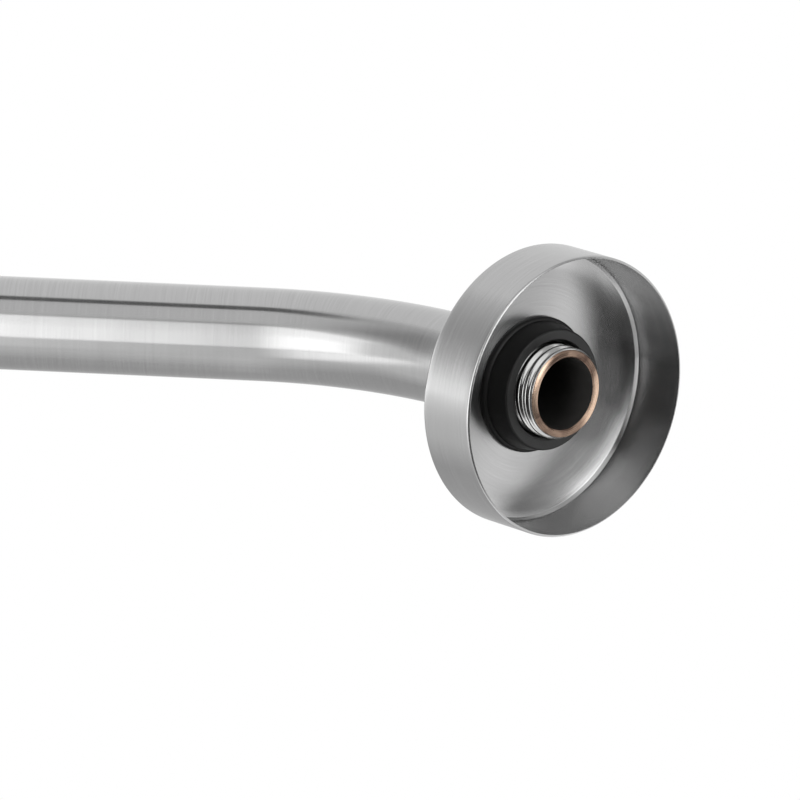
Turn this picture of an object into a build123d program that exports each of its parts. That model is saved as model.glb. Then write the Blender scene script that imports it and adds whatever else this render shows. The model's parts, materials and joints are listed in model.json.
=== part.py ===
"""Shower arm: a bent pipe threaded at both ends, with a cup-shaped escutcheon held on it by a rubber grommet.

Millimetres, as fixed to a wall: +Y points into the wall along the wall leg, +Z is up, and the head leg
slopes down and away from the wall. The origin is on the wall leg's axis, where the wall thread's lead-in ends.
"""

import os

from build123d import *

# Pipe, half-inch iron pipe size, bent to an arc between two straight legs
pipe_diameter = 21.34
pipe_wall = 2.47
wall_leg = 30.0
bend_radius = 72.0
bend_angle = 45.0
head_leg = 116.0
bore_chamfer = 0.3

# Pipe threads, drawn plain at the height of their crests
thread_below_pipe = 0.1925
lead_in_length = 0.8
lead_in_fall = 0.53
free_wall_thread = 3.5
head_thread = 13.0

# Escutcheon, a spun cup whose open side faces the wall
cup_diameter = 63.5
cup_depth = 15.1
cup_wall = 0.9
cup_floor = 0.8
cup_inner_corner = 2.0
cup_outer_corner = 1.0
rim_rounding = 0.2

# Grommet, a rubber bush pressed through the floor of the cup
grommet_height = 6.5
mouth_flare = 0.73
mouth_depth = 1.4
front_land = 2.2
front_rounding = 0.5
side_taper = 0.9
lip_ledge = 0.8
lip_height = 1.3
lip_rounding = 0.6
neck_wall = 1.53
bead_overlap = 0.9
bead_length = 1.8
bead_rounding = 0.7

# Clearances
grommet_on_pipe = 0.1
grommet_in_hole = 0.1
grommet_on_floor = 0.05
grommet_to_thread = 0.25

# Stations along the wall leg
pipe_end = lead_in_length
bend_start = pipe_end - wall_leg
grommet_front = -free_wall_thread - grommet_to_thread
grommet_seat = grommet_front - grommet_height
lip_top = grommet_seat + lip_height
cup_inside = grommet_seat - grommet_on_floor
cup_back = cup_inside - cup_floor
rim = cup_back + cup_depth
bead_seat = cup_back - grommet_on_floor
grommet_tail = bead_seat - bead_length

# Radii
pipe_radius = pipe_diameter / 2
bore_radius = pipe_radius - pipe_wall
thread_radius = pipe_radius - thread_below_pipe
end_radius = thread_radius - lead_in_fall
grommet_bore = pipe_radius + grommet_on_pipe
mouth_radius = grommet_bore + mouth_flare
front_radius = mouth_radius + front_land
shoulder_radius = front_radius + side_taper
lip_radius = shoulder_radius + lip_ledge
neck_radius = grommet_bore + neck_wall
hole_radius = neck_radius + grommet_in_hole
bead_radius = hole_radius + bead_overlap
cup_radius = cup_diameter / 2
cup_inner_radius = cup_radius - cup_wall

with BuildPart() as arm_pipe:
    with BuildLine(Plane.YZ) as centre_line:
        wall_run = Line((pipe_end, 0), (bend_start, 0))
        bend = JernArc(wall_run @ 1, wall_run % 1, bend_radius, bend_angle)
        head_run = Line(bend @ 1, bend @ 1 + head_leg * (bend % 1))
    with BuildSketch(Plane(origin=wall_run @ 0, z_dir=wall_run % 0)):
        Circle(pipe_radius)
        Circle(bore_radius, mode=Mode.SUBTRACT)
    sweep(path=centre_line.line)
    wall_thread_end = (wall_run @ 0, -(wall_run % 0), free_wall_thread)
    head_thread_end = (head_run @ 1, head_run % 1, head_thread)
    for end, outward, length in (wall_thread_end, head_thread_end):
        with BuildSketch(Plane(origin=end, x_dir=outward, z_dir=(1, 0, 0))):
            with BuildLine():
                Polyline(
                    (0, pipe_diameter),
                    (0, end_radius),
                    (-lead_in_length, thread_radius),
                    (-lead_in_length - length, thread_radius),
                    (-lead_in_length - length, pipe_diameter),
                    close=True,
                )
            make_face()
        revolve(axis=Axis(end, outward), mode=Mode.SUBTRACT)
        end_face = arm_pipe.faces().sort_by(Axis(end, outward))[-1]
        chamfer(end_face.inner_wires()[0].edges(), bore_chamfer)
arm_pipe.part.label = "arm_pipe"

with BuildPart() as escutcheon:
    with BuildSketch(Plane.YZ) as cup_section:
        with BuildLine():
            Polyline(
                (cup_back, hole_radius),
                (cup_back, cup_radius),
                (rim, cup_radius),
                (rim, cup_inner_radius),
                (cup_inside, cup_inner_radius),
                (cup_inside, hole_radius),
                close=True,
            )
        make_face()
        for corner, rounding in (
            ((cup_back, cup_radius), cup_outer_corner),
            ((cup_inside, cup_inner_radius), cup_inner_corner),
            ((rim, cup_radius), rim_rounding),
            ((rim, cup_inner_radius), rim_rounding),
        ):
            fillet(cup_section.vertices().sort_by_distance(corner)[0], rounding)
    revolve(axis=Axis.Y)
escutcheon.part.label = "escutcheon"

with BuildPart() as grommet:
    with BuildSketch(Plane.YZ) as grommet_section:
        with BuildLine():
            Polyline(
                (grommet_tail, grommet_bore),
                (grommet_tail, bead_radius),
                (bead_seat, bead_radius),
                (bead_seat, neck_radius),
                (grommet_seat, neck_radius),
                (grommet_seat, lip_radius),
                (lip_top, lip_radius),
                (lip_top, shoulder_radius),
                (grommet_front, front_radius),
                (grommet_front, mouth_radius),
                (grommet_front - mouth_depth, grommet_bore),
                close=True,
            )
        make_face()
        for corner, rounding in (
            ((grommet_front, front_radius), front_rounding),
            ((lip_top, lip_radius), lip_rounding),
            ((grommet_tail, bead_radius), bead_rounding),
        ):
            fillet(grommet_section.vertices().sort_by_distance(corner)[0], rounding)
    revolve(axis=Axis.Y)
grommet.part.label = "grommet"

os.makedirs("parts", exist_ok=True)
for piece in (arm_pipe, escutcheon, grommet):
    export_step(piece.part, f"parts/{piece.part.label}.step")
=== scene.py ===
"""Visual model of a brushed-nickel shower arm: bent pipe, spun escutcheon cup and rubber grommet."""

import json
import math

import bmesh
import bpy
from bpy.props import FloatProperty, FloatVectorProperty, IntProperty, PointerProperty
from mathutils import Matrix, Vector


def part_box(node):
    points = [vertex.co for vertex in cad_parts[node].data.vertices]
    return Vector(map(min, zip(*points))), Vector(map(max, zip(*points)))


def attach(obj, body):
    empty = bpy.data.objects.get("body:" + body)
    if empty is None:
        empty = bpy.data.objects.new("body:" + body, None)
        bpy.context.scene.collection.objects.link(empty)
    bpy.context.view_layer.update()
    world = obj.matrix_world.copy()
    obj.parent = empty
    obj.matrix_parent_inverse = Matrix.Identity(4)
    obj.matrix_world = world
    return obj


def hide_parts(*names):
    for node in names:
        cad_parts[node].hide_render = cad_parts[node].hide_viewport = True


bl_info = {
    "name": "Shower Arm",
    "version": (1, 0, 0),
    "blender": (4, 5, 0),
    "location": "View3D > Sidebar > Shower Arm",
    "description": "Builds the visual model of a shower arm around its packed frame",
    "category": "Object",
}

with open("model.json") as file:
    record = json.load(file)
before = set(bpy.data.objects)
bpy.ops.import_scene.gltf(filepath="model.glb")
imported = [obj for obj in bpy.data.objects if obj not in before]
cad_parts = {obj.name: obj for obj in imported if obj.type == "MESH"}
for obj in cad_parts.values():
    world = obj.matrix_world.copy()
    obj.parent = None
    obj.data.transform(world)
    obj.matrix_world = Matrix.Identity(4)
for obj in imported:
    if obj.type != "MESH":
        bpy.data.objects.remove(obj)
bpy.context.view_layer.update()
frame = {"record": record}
MM = 0.001

# Places and sizes that the solids already hold, in metres
PIPE_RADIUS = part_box("arm_pipe")[1].x
PIPE_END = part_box("arm_pipe")[1].y
CUP_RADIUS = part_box("escutcheon")[1].x
CUP_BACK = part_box("escutcheon")[0].y
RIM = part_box("escutcheon")[1].y
LIP_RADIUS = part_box("grommet")[1].x
GROMMET_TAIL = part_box("grommet")[0].y
GROMMET_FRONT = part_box("grommet")[1].y
MOUNTS = {mount["name"]: mount for mount in frame["record"]["mounts"]}
THREAD_RADIUS = MOUNTS["wall_thread"]["dims"]["r_mm"] * MM

# How finely the pieces are drawn
PIPE_STEP = 2.0 * MM
BORE_STEP = 3.0 * MM
CUP_STEP = 1.5 * MM
RUBBER_STEP = 0.8 * MM
STEPS_PER_PITCH = 20
ARC_STEPS = 8

# Edges that turn by more than this stay crisp
CRISP_ANGLE = math.radians(38)

# A thread's flank runs between these, as turns away from the middle of its groove
ROOT_EDGE, CREST_EDGE = 0.05, 0.45

# Length of section that fills one unit of a UV map
UV_SPAN = 100 * MM

# How close to the grommet's front a face lies to get the lighter copy of the rubber, whose lighter
# colour is painted light
FRONT_FACE_DEPTH = 0.01 * MM

# Finishes of the pipe's rings, as numbers on its faces
BRUSHED, THREADED, CUT, INSIDE = range(4)

# Sockets of nodes that have several of the same name
MIX_A, MIX_B, MIX_RESULT = 6, 7, 2
COMPARE_A, COMPARE_B = 2, 3

# Soft boxes and flags around the camera's target, in degrees up and right from the camera
# Each row: name, lowest, highest, leftmost, rightmost, brightness, share that fades at the edges
SCREENS = (
    ("key_core", -40, 8, -54, -18, 2.6, 0.25),
    ("corner_strip", -118, -58, -5, 14, 1.6, 0.2),
    ("key_soft_box", -37, 25, -56, -9, 2.05, 0.04),
    ("camera_flag", -40, 30, -10, 14, 0.02, 0.06),
    ("camera_side_flag", -42, -4, 12, 38, 0.02, 0.08),
    ("wall_flag", -55, -33, -3, 13, 0.02, 0.2),
    ("low_flag", -76, -22, -2, 40, 0.08, 0.3),
    ("low_side_flag", -74, -18, 30, 66, 0.02, 0.3),
    ("right_core", -26, 32, 46, 64, 3.6, 0.2),
    ("right_soft_box", -32, 36, 37, 70, 1.8, 0.12),
    ("far_side_flag", -80, 30, 60, 89, 0.1, 0.1),
    ("fill_soft_box", -2, 52, 14, 36, 1.25, 0.2),
    ("pole_flag", 62, 75, -28, 14, 0.13, 0.1),
    ("upper_grey", 31, 61, -28, 10, 0.88, 0.04),
    ("upper_right_grey", 54, 92, 14, 88, 0.48, 0.2),
    ("low_key_soft_box", -64, -36, -89, -18, 1.9, 0.15),
    ("left_grey", 26, 116, -89, -28, 0.4, 0.3),
    ("left_soft_box", 112, 208, -89, -56, 2.3, 0.15),
    ("low_grey", -186, -70, -58, 14, 0.58, 0.25),
    ("low_soft_box", -180, -120, 14, 60, 2.2, 0.15),
    ("low_right_soft_box", -145, -82, 58, 89, 1.65, 0.15),
)

# How far the first screen is from the target, and each one behind the one before, in metres
SCREEN_RADIUS = 0.65
SCREEN_GAP = 0.01
SCREEN_STEPS = 24

# How bright the white room is as a light, and what the floor adds to its own shade, to the eye
ROOM_LIGHT = 0.55
FLOOR_GLOW = 0.4
FLOOR_ROUGHNESS = 0.9
WHITE = (1.0, 1.0, 1.0, 1.0)

# How far the camera sees, in metres
CAMERA_REACH = 100.0


# Properties

def linear(hex_colour):
    """Turn an sRGB hex colour into linear red, green and blue."""
    channels = [int(hex_colour[i:i + 2], 16) / 255 for i in (1, 3, 5)]
    return tuple(c / 12.92 if c <= 0.04045 else ((c + 0.055) / 1.055) ** 2.4 for c in channels)


def length(name, description, default_mm):
    """Property for a size, kept in metres."""
    return FloatProperty(name=name, description=description, default=default_mm * MM,
                         unit="LENGTH", precision=5)


def turning(name, description, degrees):
    """Property for an angle, kept in radians."""
    return FloatProperty(name=name, description=description, default=math.radians(degrees),
                         subtype="ANGLE")


def share(name, description, default):
    """Property for a number between 0 and 1."""
    return FloatProperty(name=name, description=description, default=default,
                         subtype="FACTOR", min=0.0, max=1.0)


def colour(name, description, hex_colour):
    """Property for a colour, kept linear."""
    return FloatVectorProperty(name=name, description=description, default=linear(hex_colour),
                               subtype="COLOR", size=3, min=0.0, max=1.0)


class PipeSettings(bpy.types.PropertyGroup):
    """Sizes and finishes of the bent pipe."""
    bore_radius: length("Bore radius", "Inside radius of the pipe", 8.2)
    bore_chamfer: length("Bore chamfer", "Deburring of the bore's mouths", 0.3)
    end_bevel: length("End bevel", "Deburring of the pipe's outer edges", 0.2)
    wall_leg: length("Wall leg", "Straight run from the wall end to the bend", 30.0)
    bend_radius: length("Bend radius", "Radius of the bend's centre line", 72.0)
    bend_angle: turning("Bend angle", "How far the head leg turns from the wall leg", 45)
    head_leg: length("Head leg", "Straight run from the bend to the head end", 116.0)
    lead_in: length("Lead-in", "Length of the cone at each end of the pipe", 0.8)
    lead_in_fall: length("Lead-in fall", "How far the cone drops below the crests", 0.53)
    thread_length: length("Thread length", "Threaded stretch at each end, without its lead-in", 13.0)
    thread_runout: length("Thread runout", "Stretch over which the thread gets shallow", 3.5)
    thread_pitch: length("Thread pitch", "Distance from one crest to the next", 2.2)
    thread_start: turning("Thread start", "Where around the pipe the thread starts", 140)
    thread_depth: length("Thread depth", "Height of the crests over the roots", 0.8)
    nickel: colour("Brushed nickel", "Colour of the brushed plating", "#B5B5B5")
    roughness: share("Roughness", "How much the brushed plating blurs what it mirrors", 0.19)
    line_width: length("Line width", "Width of the brushed lines", 0.25)
    plating: colour("Bright plating", "Colour of the unbrushed plating on the threads", "#C8C8C7")
    bare_metal: colour("Bare metal", "Colour of the cut ends", "#EDCDB4")
    stained_metal: colour("Stained metal", "Colour of the stains on the cut ends", "#54423A")
    tarnish: colour("Tarnish", "Colour of the inside of the pipe", "#3A3938")


class CupSettings(bpy.types.PropertyGroup):
    """Sizes and finish of the escutcheon."""
    wall: length("Wall", "Thickness of the cup's wall at its rim", 0.6)
    floor: length("Floor", "Thickness of the cup's floor", 0.8)
    hole_radius: length("Hole radius", "Hole for the grommet's neck", 12.4)
    wall_draft: length("Wall draft", "How much thicker the wall is at its foot", 0.35)
    dish_width: length("Dish width", "Sloped run of the floor before its corner", 2.2)
    dish_slope: turning("Dish slope", "How steeply that run rises", 17)
    dish_rounding: length("Dish rounding", "Rounding between the flat floor and the run", 14.0)
    inner_corner: length("Inner corner", "Width of the steep facet at the foot of the wall", 0.65)
    inner_slope: turning("Inner slope", "How steeply that facet rises", 50)
    inner_rounding: length("Inner rounding", "Rounding of that facet's edges", 0.4)
    outer_corner: length("Outer corner", "Rounding of the back edge", 1.0)
    rim_rounding: length("Rim rounding", "Rounding of the rim's outer edge", 0.54)
    rim_break: length("Rim break", "Rounding of the rim's inner edge", 0.05)
    nickel: colour("Brushed nickel", "Colour of the brushed plating", "#B5B5B5")
    roughness: share("Roughness", "How much the brushed plating blurs what it mirrors", 0.21)
    line_width: length("Line width", "Width of the brushed lines", 0.35)


class GrommetSettings(bpy.types.PropertyGroup):
    """Sizes and finishes of the grommet."""
    bore_radius: length("Bore radius", "Bore around the pipe", 10.77)
    mouth_radius: length("Mouth radius", "Flared mouth of the bore", 11.5)
    mouth_depth: length("Mouth depth", "How deep the flare goes", 1.4)
    front_radius: length("Front radius", "Outer edge of the front face", 13.7)
    front_rounding: length("Front rounding", "Rounding of the front edge", 0.5)
    shoulder_radius: length("Shoulder radius", "Foot of the tapered side", 14.6)
    lip_height: length("Lip height", "Height of the lip on the cup's floor", 1.3)
    lip_rounding: length("Lip rounding", "Rounding of the lip's edge", 0.75)
    neck_radius: length("Neck radius", "Neck in the hole of the cup", 12.3)
    seat: length("Seat", "Where the lip meets the floor, along the wall leg", -10.25)
    bead_seat: length("Bead seat", "Where the bead meets the back of the cup", -11.15)
    bead_radius: length("Bead radius", "Bead behind the cup", 13.3)
    bead_rounding: length("Bead rounding", "Rounding of the bead's edge", 0.7)
    rubber: colour("Rubber", "Colour of the moulded rubber", "#121212")
    roughness: share("Roughness", "Roughness of the moulded rubber", 0.4)
    # The front face's lighter colour is painted light: the same rubber, drawn lighter where the light
    # falls on it
    lit_face_rubber: colour("Rubber face", "Colour of the trimmed front face", "#313131")
    face_roughness: share("Face roughness", "Roughness of the trimmed front face", 0.5)


class StageSettings(bpy.types.PropertyGroup):
    """Camera and floor."""
    floor_height: length("Floor height", "Shower floor, below the arm as installed", -2100.0)
    floor_size: length("Floor size", "Side of the floor", 14000.0)
    floor_colour: colour("Floor", "Colour of the pale floor", "#EDEDED")
    azimuth: turning("Azimuth", "Camera's turn about the vertical, 0 looks along +Y", 161.128)
    elevation: turning("Elevation", "Camera's height over the horizon", -39.705)
    roll: turning("Roll", "Camera's turn about its own view", 79.35)
    distance: length("Distance", "Camera to its target", 1531.9)
    target: FloatVectorProperty(
        name="Target", description="Point in the middle of the view",
        default=(-1.701 * MM, -21.224 * MM, -29.407 * MM), subtype="TRANSLATION", precision=5)
    lens: FloatProperty(
        name="Lens", description="Focal length on a 36 mm sensor", default=312.79, unit="CAMERA")


class ShowerArmSettings(bpy.types.PropertyGroup):
    """Everything a user may set."""
    pipe: PointerProperty(type=PipeSettings)
    cup: PointerProperty(type=CupSettings)
    grommet: PointerProperty(type=GrommetSettings)
    stage: PointerProperty(type=StageSettings)
    segments: IntProperty(
        name="Segments", description="Faces around each turned piece", default=192, min=24, max=360)


# Nodes

def put(tree, kind, inputs=None, **settings):
    """Add a node with its settings; an input that is a socket is linked, and any other is set."""
    node = tree.nodes.new(kind)
    for name, value in settings.items():
        setattr(node, name, value)
    for name, value in (inputs or {}).items():
        if isinstance(value, bpy.types.NodeSocket):
            tree.links.new(value, node.inputs[name])
        else:
            node.inputs[name].default_value = value
    return node


def new_material(name):
    """Start a material: returns it with its tree and its shader."""
    material = bpy.data.materials.new(name)
    material.use_nodes = True
    tree = material.node_tree
    return material, tree, tree.nodes["Principled BSDF"]


def seen_directly(tree):
    """1 where a surface is seen, also in metal or through glass, and 0 where it only gives light."""
    ray = put(tree, "ShaderNodeLightPath").outputs
    seen = put(tree, "ShaderNodeMath", {
        0: ray["Is Camera Ray"], 1: ray["Is Glossy Ray"]}, operation="MAXIMUM").outputs[0]
    return put(tree, "ShaderNodeMath", {
        0: seen, 1: ray["Is Transmission Ray"]}, operation="MAXIMUM").outputs[0]


# Materials, with the sizes of their patterns in millimetres

def brushed_nickel(name, nickel, roughness, line_width):
    """Nickel plating on brass, brushed in circles around its axis.

    The fine scratches run around the piece, so they smear reflections along it and leave them crisp
    across: lamps become long bands on the pipe and wedges on the floor of the cup.
    """
    # Real brushing is too fine to show, so its lines are drawn several times as wide
    line_length, cloud = 16.0, 9.0
    material, tree, shader = new_material(name)
    grain = put(tree, "ShaderNodeAttribute", attribute_name="grain").outputs["Vector"]
    drawn_out = put(tree, "ShaderNodeMapping", {
        "Vector": grain, "Scale": (1 / line_length, 1 / line_length, 1 / line_width)}).outputs[0]
    lines = put(tree, "ShaderNodeTexNoise", {
        "Vector": drawn_out, "Scale": 1.0, "Detail": 3.0, "Roughness": 0.65}).outputs["Fac"]
    clouds = put(tree, "ShaderNodeTexNoise", {
        "Vector": grain, "Scale": 1 / cloud, "Detail": 2.0}).outputs["Fac"]
    tint = put(tree, "ShaderNodeMapRange", {
        "Value": lines, "From Min": 0.25, "From Max": 0.75, "To Min": 0.9, "To Max": 1.05}).outputs[0]
    shade = put(tree, "ShaderNodeMix", {"Factor": 1.0, MIX_A: (*nickel, 1.0), MIX_B: tint},
                data_type="RGBA", blend_type="MULTIPLY").outputs[MIX_RESULT]
    worn = put(tree, "ShaderNodeMath", {0: lines, 1: clouds}, operation="ADD").outputs[0]
    blur = put(tree, "ShaderNodeMapRange", {
        "Value": worn, "From Min": 0.6, "From Max": 1.4,
        "To Min": roughness * 0.85, "To Max": roughness * 1.15}).outputs[0]
    scratches = put(tree, "ShaderNodeBump", {
        "Height": lines, "Strength": 0.04, "Distance": 0.02 * MM}).outputs[0]
    along = put(tree, "ShaderNodeTangent", direction_type="UV_MAP", uv_map="Brush").outputs[0]
    tree.links.new(shade, shader.inputs["Base Color"])
    tree.links.new(blur, shader.inputs["Roughness"])
    tree.links.new(scratches, shader.inputs["Normal"])
    tree.links.new(along, shader.inputs["Tangent"])
    shader.inputs["Metallic"].default_value = 1.0
    shader.inputs["Anisotropic"].default_value = 0.9
    return material


def bright_plating(plating):
    """Nickel over a cut thread, never brushed: mirror-bright crests with a faint waviness."""
    ripple = 1.6
    material, tree, shader = new_material("bright_nickel_plating")
    grain = put(tree, "ShaderNodeAttribute", attribute_name="grain").outputs["Vector"]
    waves = put(tree, "ShaderNodeTexNoise", {
        "Vector": grain, "Scale": 1 / ripple, "Detail": 2.0}).outputs["Fac"]
    blur = put(tree, "ShaderNodeMapRange", {
        "Value": waves, "To Min": 0.08, "To Max": 0.18}).outputs[0]
    ripples = put(tree, "ShaderNodeBump", {
        "Height": waves, "Strength": 0.1, "Distance": 0.05 * MM}).outputs[0]
    tree.links.new(blur, shader.inputs["Roughness"])
    tree.links.new(ripples, shader.inputs["Normal"])
    shader.inputs["Base Color"].default_value = (*plating, 1.0)
    shader.inputs["Metallic"].default_value = 1.0
    return material


def bare_cut_metal(bare_metal, stained_metal):
    """Bare red brass where the pipe was cut off: copper-coloured, with turning marks and dark stains.

    Two opposite sides of the ring are painted lighter and the sides between darker: a painted
    reflection of the turning marks, on top of the real stains.
    """
    mark_width, mark_length, stain = 0.18, 10.0, 4.0
    # The way across the ring along which the painted reflection is lightest
    painted_reflection_way = (-0.3, 0.95, 0.0)
    material, tree, shader = new_material("bare_red_brass")
    grain = put(tree, "ShaderNodeAttribute", attribute_name="grain").outputs["Vector"]
    drawn_out = put(tree, "ShaderNodeMapping", {
        "Vector": grain, "Scale": (1 / mark_length, 1 / mark_length, 1 / mark_width)}).outputs[0]
    marks = put(tree, "ShaderNodeTexNoise", {
        "Vector": drawn_out, "Scale": 1.0, "Detail": 2.0}).outputs["Fac"]
    spots = put(tree, "ShaderNodeTexNoise", {
        "Vector": grain, "Scale": 1 / stain, "Detail": 4.0}).outputs["Fac"]
    stains = put(tree, "ShaderNodeMapRange", {
        "Value": spots, "From Min": 0.3, "From Max": 0.7, "To Min": 0.25, "To Max": 0.6}).outputs[0]
    # Painted reflection: lighter along that way and darker across it, added to the real stains
    aside = put(tree, "ShaderNodeVectorMath", {0: grain, 1: painted_reflection_way},
                operation="DOT_PRODUCT").outputs["Value"]
    either_side = put(tree, "ShaderNodeMath", {0: aside}, operation="ABSOLUTE").outputs[0]
    painted_reflection = put(tree, "ShaderNodeMapRange", {
        "Value": either_side, "From Min": 6.5, "From Max": 9.0,
        "To Min": -0.27, "To Max": 0.5}).outputs[0]
    stains_and_reflection = put(tree, "ShaderNodeMath", {0: stains, 1: painted_reflection},
                operation="ADD", use_clamp=True).outputs[0]
    shade = put(tree, "ShaderNodeMix", {
        "Factor": stains_and_reflection, MIX_A: (*stained_metal, 1.0), MIX_B: (*bare_metal, 1.0)},
        data_type="RGBA").outputs[MIX_RESULT]
    blur = put(tree, "ShaderNodeMapRange", {
        "Value": marks, "To Min": 0.2, "To Max": 0.34}).outputs[0]
    turned = put(tree, "ShaderNodeBump", {
        "Height": marks, "Strength": 0.3, "Distance": 0.03 * MM}).outputs[0]
    along = put(tree, "ShaderNodeTangent", direction_type="UV_MAP", uv_map="Brush").outputs[0]
    tree.links.new(shade, shader.inputs["Base Color"])
    tree.links.new(blur, shader.inputs["Roughness"])
    tree.links.new(turned, shader.inputs["Normal"])
    tree.links.new(along, shader.inputs["Tangent"])
    shader.inputs["Metallic"].default_value = 1.0
    shader.inputs["Anisotropic"].default_value = 0.6
    return material


def tarnished_bore(tarnish):
    """Drawn brass left raw inside the pipe, gone nearly black and patchy."""
    patch = 6.0
    material, tree, shader = new_material("tarnished_brass_bore")
    grain = put(tree, "ShaderNodeAttribute", attribute_name="grain").outputs["Vector"]
    patches = put(tree, "ShaderNodeTexNoise", {
        "Vector": grain, "Scale": 1 / patch, "Detail": 3.0}).outputs["Fac"]
    tint = put(tree, "ShaderNodeMapRange", {
        "Value": patches, "To Min": 0.5, "To Max": 1.5}).outputs[0]
    shade = put(tree, "ShaderNodeMix", {"Factor": 1.0, MIX_A: (*tarnish, 1.0), MIX_B: tint},
                data_type="RGBA", blend_type="MULTIPLY").outputs[MIX_RESULT]
    tree.links.new(shade, shader.inputs["Base Color"])
    shader.inputs["Roughness"].default_value = 0.3
    return material


def black_rubber(name, rubber, roughness):
    """Black EPDM rubber: a satin skin with soft highlights from the mould, duller on the front face.

    A faint bloom and a fine grain keep it from looking like plastic.
    """
    # The grain of real rubber is too fine to show, so it is drawn coarser
    bloom, pore = 7.0, 0.35
    material, tree, shader = new_material(name)
    grain = put(tree, "ShaderNodeAttribute", attribute_name="grain").outputs["Vector"]
    blooms = put(tree, "ShaderNodeTexNoise", {
        "Vector": grain, "Scale": 1 / bloom, "Detail": 4.0}).outputs["Fac"]
    pores = put(tree, "ShaderNodeTexNoise", {
        "Vector": grain, "Scale": 1 / pore, "Detail": 1.0}).outputs["Fac"]
    tint = put(tree, "ShaderNodeMapRange", {
        "Value": blooms, "From Min": 0.3, "From Max": 0.7, "To Min": 0.8, "To Max": 1.2}).outputs[0]
    shade = put(tree, "ShaderNodeMix", {"Factor": 1.0, MIX_A: (*rubber, 1.0), MIX_B: tint},
                data_type="RGBA", blend_type="MULTIPLY").outputs[MIX_RESULT]
    blur = put(tree, "ShaderNodeMapRange", {
        "Value": blooms, "To Min": roughness * 0.8, "To Max": roughness * 1.2}).outputs[0]
    skin = put(tree, "ShaderNodeBump", {
        "Height": pores, "Strength": 0.12, "Distance": 0.05 * MM}).outputs[0]
    tree.links.new(shade, shader.inputs["Base Color"])
    tree.links.new(blur, shader.inputs["Roughness"])
    tree.links.new(skin, shader.inputs["Normal"])
    shader.inputs["Specular IOR Level"].default_value = 0.32
    return material


def glowing_screen(name, brightness):
    """Even glow of a soft box, or the dark of a flag, that fades out towards its edges."""
    material, tree, shader = new_material(name)
    tree.nodes.remove(shader)
    solid = put(tree, "ShaderNodeAttribute", attribute_name="solid").outputs["Fac"]
    clear = put(tree, "ShaderNodeBsdfTransparent").outputs[0]
    lit = put(tree, "ShaderNodeEmission", {"Strength": brightness}).outputs[0]
    faded = put(tree, "ShaderNodeMixShader", {0: solid, 1: clear, 2: lit}).outputs[0]
    tree.links.new(faded, tree.nodes["Material Output"].inputs["Surface"])
    return material


# Turned shapes

def rounded(points):
    """Closed section from (along, radius, rounding) corners; one with no rounding stays sharp."""
    section = []
    for i, (y, r, rounding) in enumerate(points):
        corner = Vector((y, r))
        if not rounding:
            section.append(corner)
            continue
        before = (Vector(points[i - 1][:2]) - corner).normalized()
        after = (Vector(points[(i + 1) % len(points)][:2]) - corner).normalized()
        half = before.angle(after) / 2
        centre = corner + (before + after).normalized() * (rounding / math.sin(half))
        start = corner + before * (rounding / math.tan(half)) - centre
        turn = start.angle_signed(corner + after * (rounding / math.tan(half)) - centre)
        for k in range(ARC_STEPS + 1):
            section.append(centre + Matrix.Rotation(-turn * k / ARC_STEPS, 2) @ start)
    return section


def spaced(section, step):
    """The same closed section with extra points, so that no stretch is longer than the step."""
    dense = []
    for start, end in zip(section, section[1:] + section[:1]):
        count = max(1, math.ceil((end - start).length / step))
        dense += [start.lerp(end, k / count) for k in range(count)]
    return dense


def lathe(name, section, segments):
    """Turn a closed section of (along, radius) points about the Y axis into a closed mesh.

    Its UV map runs along the section, for the direction of the brushing. Its grain attribute holds
    millimetres across, across and along the section, for patterns that follow the turning.
    """
    rings = len(section)
    along = [0.0]
    for start, end in zip(section, section[1:] + section[:1]):
        along.append(along[-1] + (end - start).length)
    turns = [2 * math.pi * k / segments for k in range(segments)]
    places = [(p.y * math.cos(t), p.x, p.y * math.sin(t)) for p in section for t in turns]
    faces, loop_uvs = [], []
    for i in range(rings):
        j = (i + 1) % rings
        near, far = along[i] / UV_SPAN, along[i + 1] / UV_SPAN
        for k in range(segments):
            m = (k + 1) % segments
            faces.append((i * segments + k, i * segments + m, j * segments + m, j * segments + k))
            low, high = k / segments, (k + 1) / segments
            loop_uvs += [near, low, near, high, far, high, far, low]
    mesh = bpy.data.meshes.new(name)
    mesh.from_pydata(places, [], faces)
    mesh.uv_layers.new(name="Brush").data.foreach_set("uv", loop_uvs)
    grain = []
    for number, (x, _, z) in enumerate(places):
        grain += [x / MM, z / MM, along[number // segments] / MM]
    mesh.attributes.new("grain", "FLOAT_VECTOR", "POINT").data.foreach_set("vector", grain)
    return mesh


def turn_outwards(mesh):
    """Point the faces of a closed mesh outwards, and shade it smooth between its sharp edges."""
    shell = bmesh.new()
    shell.from_mesh(mesh)
    bmesh.ops.recalc_face_normals(shell, faces=shell.faces)
    shell.to_mesh(mesh)
    shell.free()
    mesh.shade_smooth()
    mesh.set_sharp_from_angle(angle=CRISP_ANGLE)


def show(mesh, body, node):
    """Put a finished mesh in the scene in place of its solid."""
    piece = bpy.data.objects.new(mesh.name, mesh)
    bpy.context.scene.collection.objects.link(piece)
    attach(piece, body)
    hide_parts(node)


# Pipe

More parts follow.
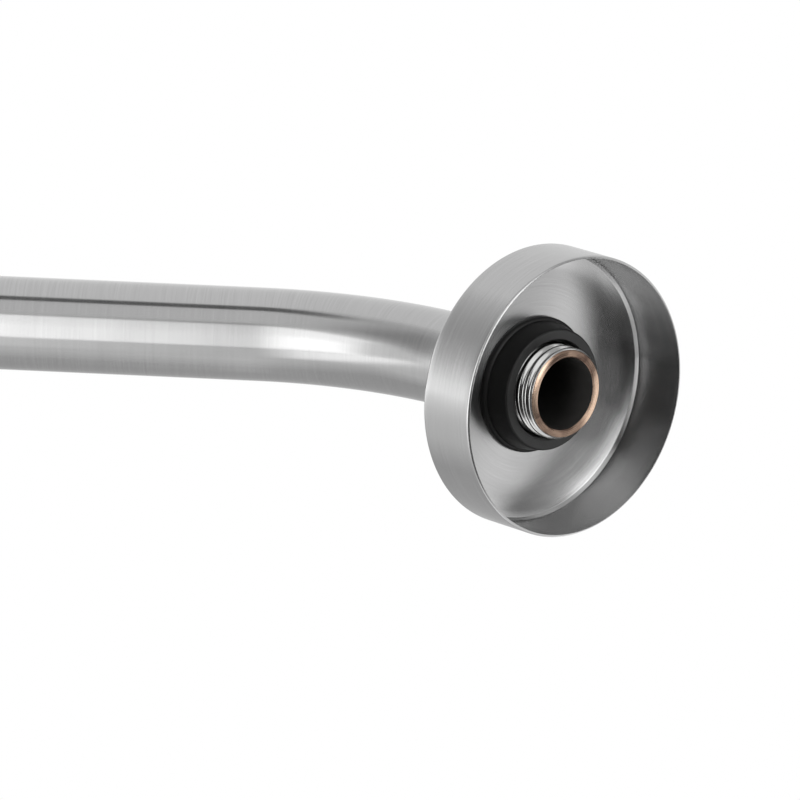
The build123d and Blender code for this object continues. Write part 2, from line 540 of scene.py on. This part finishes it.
def pipe_tree(finishes):
    """Nodes that cut the threads of a straight pipe, bend it and give each stretch its finish."""
    tree = bpy.data.node_groups.new("Thread and bend the pipe", "GeometryNodeTree")
    tree.interface.new_socket("Pipe", in_out="INPUT", socket_type="NodeSocketGeometry")
    sockets = {}
    for name in ("Thread pitch", "Thread start", "Bend start", "Bend radius", "Bend angle"):
        socket = tree.interface.new_socket(name, in_out="INPUT", socket_type="NodeSocketFloat")
        sockets[name] = socket.identifier
    tree.interface.new_socket("Pipe", in_out="OUTPUT", socket_type="NodeSocketGeometry")
    given = put(tree, "NodeGroupInput").outputs
    pitch, begin = given["Thread pitch"], given["Thread start"]
    start, radius, limit = given["Bend start"], given["Bend radius"], given["Bend angle"]
    position = put(tree, "GeometryNodeInputPosition").outputs[0]
    x, y, z = put(tree, "ShaderNodeSeparateXYZ", {0: position}).outputs

    # A right-hand thread: the groove goes round once in each pitch along the pipe
    depth = put(tree, "GeometryNodeInputNamedAttribute", {"Name": "thread_depth"},
                data_type="FLOAT").outputs[0]
    turn = put(tree, "ShaderNodeMath", {0: z, 1: x}, operation="ARCTAN2").outputs[0]
    begun = put(tree, "ShaderNodeMath", {0: turn, 1: begin}, operation="ADD").outputs[0]
    turns = put(tree, "ShaderNodeMath", {0: begun, 1: 2 * math.pi}, operation="DIVIDE").outputs[0]
    pitches = put(tree, "ShaderNodeMath", {0: y, 1: pitch}, operation="DIVIDE").outputs[0]
    phase = put(tree, "ShaderNodeMath", {0: turns, 1: pitches}, operation="ADD").outputs[0]
    flank = put(tree, "ShaderNodeMath", {0: phase, 1: 0.5}, operation="PINGPONG").outputs[0]
    groove = put(tree, "ShaderNodeMapRange", {
        "Value": flank, "From Min": ROOT_EDGE, "From Max": CREST_EDGE, "To Min": 1.0, "To Max": 0.0},
        interpolation_type="SMOOTHSTEP").outputs[0]
    cut = put(tree, "ShaderNodeMath", {0: depth, 1: groove}, operation="MULTIPLY").outputs[0]
    sunk = put(tree, "ShaderNodeMath", {0: cut, 1: -1.0}, operation="MULTIPLY").outputs[0]
    across = put(tree, "ShaderNodeCombineXYZ", {0: x, 2: z}).outputs[0]
    outward = put(tree, "ShaderNodeVectorMath", {0: across}, operation="NORMALIZE").outputs[0]
    inward = put(tree, "ShaderNodeVectorMath", {0: outward, "Scale": sunk},
                 operation="SCALE").outputs[0]
    threaded = put(tree, "GeometryNodeSetPosition", {
        "Geometry": given["Pipe"], "Offset": inward}).outputs[0]

    # The bend: what lies past its start is turned about the centre of the bend
    beyond = put(tree, "ShaderNodeMath", {0: start, 1: y}, operation="SUBTRACT").outputs[0]
    past = put(tree, "ShaderNodeMath", {0: beyond, 1: 0.0}, operation="MAXIMUM").outputs[0]
    whole = put(tree, "ShaderNodeMath", {0: past, 1: radius}, operation="DIVIDE").outputs[0]
    angle = put(tree, "ShaderNodeMath", {0: whole, 1: limit}, operation="MINIMUM").outputs[0]
    arc = put(tree, "ShaderNodeMath", {0: angle, 1: radius}, operation="MULTIPLY").outputs[0]
    pulled = put(tree, "ShaderNodeMath", {0: y, 1: arc}, operation="ADD").outputs[0]
    at_start = put(tree, "ShaderNodeCombineXYZ", {0: x, 1: pulled, 2: z}).outputs[0]
    low = put(tree, "ShaderNodeMath", {0: radius, 1: -1.0}, operation="MULTIPLY").outputs[0]
    centre = put(tree, "ShaderNodeCombineXYZ", {1: start, 2: low}).outputs[0]
    turned = put(tree, "ShaderNodeVectorRotate", {
        "Vector": at_start, "Center": centre, "Axis": (1.0, 0.0, 0.0), "Angle": angle},
        rotation_type="AXIS_ANGLE").outputs[0]
    bent = put(tree, "GeometryNodeSetPosition", {"Geometry": threaded, "Position": turned}).outputs[0]

    # Each stretch gets the material of its finish
    finish = put(tree, "GeometryNodeInputNamedAttribute", {"Name": "finish"},
                 data_type="INT").outputs[0]
    shape = put(tree, "GeometryNodeRealizeInstances", {0: bent}).outputs[0]
    for number, material in finishes.items():
        chosen = put(tree, "FunctionNodeCompare", {COMPARE_A: finish, COMPARE_B: number},
                     data_type="INT", operation="EQUAL").outputs[0]
        shape = put(tree, "GeometryNodeSetMaterial", {
            "Geometry": shape, "Selection": chosen, "Material": material}).outputs[0]
    put(tree, "NodeGroupOutput", {0: shape})
    return tree, sockets


def between(start, stop, step):
    """Even places between start and stop, without the two, at most a step apart."""
    count = math.ceil(abs(stop - start) / step)
    return [start + (stop - start) * k / count for k in range(1, count)]


def crest(sizes, inside):
    """Radius of the crests and depth of the thread at a distance inside the lead-in cone's start."""
    if inside < 0:
        radius = THREAD_RADIUS + sizes.lead_in_fall * inside / sizes.lead_in
        return radius, max(0.0, radius - (THREAD_RADIUS - sizes.thread_depth))
    taper = min(1.0, inside / sizes.thread_length)
    radius = THREAD_RADIUS + (PIPE_RADIUS - THREAD_RADIUS) * taper
    fade = min(1.0, max(0.0, (sizes.thread_length - inside) / sizes.thread_runout))
    return radius, sizes.thread_depth * fade


def pipe_section(sizes):
    """Section of the pipe while it is straight, as (along, radius, thread depth, finish) rings."""
    head_end = PIPE_END - sizes.wall_leg - sizes.bend_radius * sizes.bend_angle - sizes.head_leg
    edge_radius = THREAD_RADIUS - sizes.lead_in_fall - sizes.end_bevel
    mouth_radius = sizes.bore_radius + sizes.bore_chamfer
    cut_length = sizes.thread_length + sizes.lead_in - sizes.end_bevel
    thread_rings = math.ceil(cut_length / (sizes.thread_pitch / STEPS_PER_PITCH))
    rings = []
    for k in range(thread_rings + 1):
        inside = sizes.thread_length - cut_length * (1 - k / thread_rings)
        finish = THREADED if k < thread_rings else BRUSHED
        rings.append((PIPE_END - sizes.lead_in - inside, *crest(sizes, inside), finish))
    wall_runout = rings[-1][0]
    head_runout = head_end + sizes.lead_in + sizes.thread_length
    rings += [(y, PIPE_RADIUS, 0.0, BRUSHED) for y in between(wall_runout, head_runout, PIPE_STEP)]
    for k in range(thread_rings + 1):
        inside = sizes.thread_length - cut_length * k / thread_rings
        finish = THREADED if k < thread_rings else CUT
        rings.append((head_end + sizes.lead_in + inside, *crest(sizes, inside), finish))
    rings.append((head_end, edge_radius, 0.0, CUT))
    rings.append((head_end, mouth_radius, 0.0, CUT))
    head_mouth = head_end + sizes.bore_chamfer
    wall_mouth = PIPE_END - sizes.bore_chamfer
    rings.append((head_mouth, sizes.bore_radius, 0.0, INSIDE))
    rings += [(y, sizes.bore_radius, 0.0, INSIDE) for y in between(head_mouth, wall_mouth, BORE_STEP)]
    rings.append((wall_mouth, sizes.bore_radius, 0.0, CUT))
    rings.append((PIPE_END, mouth_radius, 0.0, CUT))
    rings.append((PIPE_END, edge_radius, 0.0, CUT))
    return rings


class SHOWERARM_OT_pipe(bpy.types.Operator):
    """Turn, thread and bend the pipe"""
    bl_idname = "shower_arm.pipe"
    bl_label = "Bent pipe"

    def execute(self, context):
        settings = context.scene.shower_arm
        sizes = settings.pipe
        rings = pipe_section(sizes)
        mesh = lathe("straight_pipe", [Vector(ring[:2]) for ring in rings], settings.segments)
        depths = [ring[2] for ring in rings for _ in range(settings.segments)]
        mesh.attributes.new("thread_depth", "FLOAT", "POINT").data.foreach_set("value", depths)
        finish = [ring[3] for ring in rings for _ in range(settings.segments)]
        mesh.attributes.new("finish", "INT", "FACE").data.foreach_set("value", finish)
        line_width = sizes.line_width / MM
        tree, sockets = pipe_tree({
            BRUSHED: brushed_nickel("brushed_nickel_pipe", sizes.nickel, sizes.roughness, line_width),
            THREADED: bright_plating(sizes.plating),
            CUT: bare_cut_metal(sizes.bare_metal, sizes.stained_metal),
            INSIDE: tarnished_bore(sizes.tarnish),
        })
        blank = bpy.data.objects.new("straight_pipe", mesh)
        context.scene.collection.objects.link(blank)
        modifier = blank.modifiers.new("Thread and bend", "NODES")
        modifier.node_group = tree
        modifier[sockets["Thread pitch"]] = sizes.thread_pitch
        modifier[sockets["Thread start"]] = sizes.thread_start
        modifier[sockets["Bend start"]] = PIPE_END - sizes.wall_leg
        modifier[sockets["Bend radius"]] = sizes.bend_radius
        modifier[sockets["Bend angle"]] = sizes.bend_angle
        finished = blank.evaluated_get(context.evaluated_depsgraph_get())
        bent = bpy.data.meshes.new_from_object(finished)
        bpy.data.objects.remove(blank)
        bent.name = "arm_pipe_nickel"
        turn_outwards(bent)
        show(bent, "arm", "arm_pipe")
        return {"FINISHED"}


# Escutcheon

class SHOWERARM_OT_escutcheon(bpy.types.Operator):
    """Spin the cup-shaped escutcheon"""
    bl_idname = "shower_arm.escutcheon"
    bl_label = "Escutcheon"

    def execute(self, context):
        settings = context.scene.shower_arm
        sizes = settings.cup
        inside = CUP_BACK + sizes.floor
        wall_inside = CUP_RADIUS - sizes.wall
        foot = wall_inside - sizes.wall_draft
        dish_top = inside + sizes.dish_width * math.tan(sizes.dish_slope)
        facet_top = dish_top + sizes.inner_corner * math.tan(sizes.inner_slope)
        section = rounded([
            (CUP_BACK, sizes.hole_radius, 0.0),
            (CUP_BACK, CUP_RADIUS, sizes.outer_corner),
            (RIM, CUP_RADIUS, sizes.rim_rounding),
            (RIM, wall_inside, sizes.rim_break),
            (facet_top, foot, sizes.inner_rounding),
            (dish_top, foot - sizes.inner_corner, sizes.inner_rounding),
            (inside, foot - sizes.inner_corner - sizes.dish_width, sizes.dish_rounding),
            (inside, sizes.hole_radius, 0.0),
        ])
        mesh = lathe("escutcheon_cup", spaced(section, CUP_STEP), settings.segments)
        line_width = sizes.line_width / MM
        nickel = brushed_nickel("brushed_nickel_cup", sizes.nickel, sizes.roughness, line_width)
        mesh.materials.append(nickel)
        turn_outwards(mesh)
        show(mesh, "escutcheon", "escutcheon")
        return {"FINISHED"}


# Grommet

class SHOWERARM_OT_grommet(bpy.types.Operator):
    """Mould the rubber grommet"""
    bl_idname = "shower_arm.grommet"
    bl_label = "Grommet"

    def execute(self, context):
        settings = context.scene.shower_arm
        sizes = settings.grommet
        lip_top = sizes.seat + sizes.lip_height
        section = rounded([
            (GROMMET_TAIL, sizes.bore_radius, 0.0),
            (GROMMET_TAIL, sizes.bead_radius, sizes.bead_rounding),
            (sizes.bead_seat, sizes.bead_radius, 0.0),
            (sizes.bead_seat, sizes.neck_radius, 0.0),
            (sizes.seat, sizes.neck_radius, 0.0),
            (sizes.seat, LIP_RADIUS, 0.0),
            (lip_top, LIP_RADIUS, sizes.lip_rounding),
            (lip_top, sizes.shoulder_radius, 0.0),
            (GROMMET_FRONT, sizes.front_radius, sizes.front_rounding),
            (GROMMET_FRONT, sizes.mouth_radius, 0.0),
            (GROMMET_FRONT - sizes.mouth_depth, sizes.bore_radius, 0.0),
        ])
        mesh = lathe("rubber_grommet", spaced(section, RUBBER_STEP), settings.segments)
        moulded = black_rubber("moulded_black_rubber", sizes.rubber, sizes.roughness)
        # Painted light: the front face gets a lighter copy of the same rubber
        highlit = black_rubber("highlit_black_rubber", sizes.lit_face_rubber, sizes.face_roughness)
        mesh.materials.append(moulded)
        mesh.materials.append(highlit)
        for face in mesh.polygons:
            face.material_index = int(GROMMET_FRONT - face.center.y < FRONT_FACE_DEPTH)
        turn_outwards(mesh)
        show(mesh, "grommet", "grommet")
        return {"FINISHED"}


# Stage

class SHOWERARM_OT_stage(bpy.types.Operator):
    """Set up the camera, the pale floor and the soft studio light"""
    bl_idname = "shower_arm.stage"
    bl_label = "Stage"

    def execute(self, context):
        scene = context.scene
        stage = scene.shower_arm.stage
        scene.view_settings.view_transform = "Standard"
        a, e = stage.azimuth, stage.elevation
        back = Vector((math.sin(a) * math.cos(e), -math.cos(a) * math.cos(e), math.sin(e)))
        level = Vector((math.cos(a), math.sin(a), 0.0))
        right = Matrix.Rotation(stage.roll, 3, back) @ level
        up = back.cross(right)
        target = Vector(stage.target)
        camera = bpy.data.objects.new("camera", bpy.data.cameras.new("camera"))
        camera.data.lens = stage.lens
        camera.data.clip_end = CAMERA_REACH
        turned = Matrix((right, up, back)).transposed().to_4x4()
        camera.matrix_world = Matrix.Translation(target + back * stage.distance) @ turned
        scene.collection.objects.link(camera)
        scene.camera = camera
        self.world(scene)
        self.floor(scene, stage)
        self.light(scene, target, right, up, back)
        return {"FINISHED"}

    def world(self, scene):
        """Plain white surroundings to the eye and in the metal, dimmer as a light."""
        world = bpy.data.worlds.new("white_room")
        scene.world = world
        world.use_nodes = True
        tree = world.node_tree
        strength = put(tree, "ShaderNodeMapRange", {
            "Value": seen_directly(tree), "To Min": ROOM_LIGHT, "To Max": 1.0}).outputs[0]
        background = tree.nodes["Background"]
        background.inputs["Color"].default_value = WHITE
        tree.links.new(strength, background.inputs["Strength"])

    def floor(self, scene, stage):
        """Pale matt floor, as far below the arm as a shower's floor is, and nearly white to the eye."""
        half, height = stage.floor_size / 2, stage.floor_height
        corners = [
            (-half, -half, height), (half, -half, height), (half, half, height), (-half, half, height)]
        mesh = bpy.data.meshes.new("floor")
        mesh.from_pydata(corners, [], [(0, 1, 2, 3)])
        material, tree, shader = new_material("pale_floor")
        shader.inputs["Base Color"].default_value = (*stage.floor_colour, 1.0)
        shader.inputs["Roughness"].default_value = FLOOR_ROUGHNESS
        shader.inputs["Emission Color"].default_value = WHITE
        glow = put(tree, "ShaderNodeMath", {
            0: seen_directly(tree), 1: FLOOR_GLOW}, operation="MULTIPLY").outputs[0]
        tree.links.new(glow, shader.inputs["Emission Strength"])
        mesh.materials.append(material)
        floor = bpy.data.objects.new("floor", mesh)
        scene.collection.objects.link(floor)

    def light(self, scene, target, right, up, back):
        """Curved soft boxes and flags, placed by the angles at which the metal mirrors them."""
        row = SCREEN_STEPS + 1
        corners = [i * row + k for i in range(SCREEN_STEPS) for k in range(SCREEN_STEPS)]
        faces = [(corner, corner + 1, corner + row + 1, corner + row) for corner in corners]
        for number, settings in enumerate(SCREENS):
            name, lowest, highest, leftmost, rightmost, brightness, fade = settings
            reach = SCREEN_RADIUS + SCREEN_GAP * number
            places, solid = [], []
            for i in range(row):
                around = math.radians(lowest + (highest - lowest) * i / SCREEN_STEPS)
                spoke = back * math.cos(around) + up * math.sin(around)
                for k in range(row):
                    aside = math.radians(leftmost + (rightmost - leftmost) * k / SCREEN_STEPS)
                    places.append(target + (right * math.sin(aside) + spoke * math.cos(aside)) * reach)
                    border = min(i, SCREEN_STEPS - i, k, SCREEN_STEPS - k) / SCREEN_STEPS
                    solid.append(min(1.0, border / fade))
            mesh = bpy.data.meshes.new(name)
            mesh.from_pydata(places, [], faces)
            mesh.attributes.new("solid", "FLOAT", "POINT").data.foreach_set("value", solid)
            mesh.materials.append(glowing_screen(name, brightness))
            screen = bpy.data.objects.new(name, mesh)
            screen.visible_camera = False
            screen.visible_shadow = False
            scene.collection.objects.link(screen)


class SHOWERARM_PT_panel(bpy.types.Panel):
    """Sidebar panel of the shower arm"""
    bl_idname = "SHOWERARM_PT_panel"
    bl_label = "Shower Arm"
    bl_space_type = "VIEW_3D"
    bl_region_type = "UI"
    bl_category = "Shower Arm"

    def draw(self, context):
        settings = context.scene.shower_arm
        groups = (
            (SHOWERARM_OT_pipe, settings.pipe),
            (SHOWERARM_OT_escutcheon, settings.cup),
            (SHOWERARM_OT_grommet, settings.grommet),
            (SHOWERARM_OT_stage, settings.stage),
        )
        for operator, group in groups:
            box = self.layout.box()
            box.operator(operator.bl_idname)
            for name in group.bl_rna.properties.keys():
                if name not in {"rna_type", "name"}:
                    box.prop(group, name)
        self.layout.prop(settings, "segments")


CLASSES = (
    PipeSettings,
    CupSettings,
    GrommetSettings,
    StageSettings,
    ShowerArmSettings,
    SHOWERARM_OT_pipe,
    SHOWERARM_OT_escutcheon,
    SHOWERARM_OT_grommet,
    SHOWERARM_OT_stage,
    SHOWERARM_PT_panel,
)


def register():
    """Make the classes known to Blender, and give the scene its settings."""
    for cls in CLASSES:
        bpy.utils.register_class(cls)
    bpy.types.Scene.shower_arm = PointerProperty(type=ShowerArmSettings)


def unregister():
    """Undo what register does."""
    del bpy.types.Scene.shower_arm
    for cls in reversed(CLASSES):
        bpy.utils.unregister_class(cls)


def main():
    """Build the arm and its stage."""
    register()
    bpy.ops.shower_arm.pipe()
    bpy.ops.shower_arm.escutcheon()
    bpy.ops.shower_arm.grommet()
    bpy.ops.shower_arm.stage()


if __name__ == "__main__":
    main()
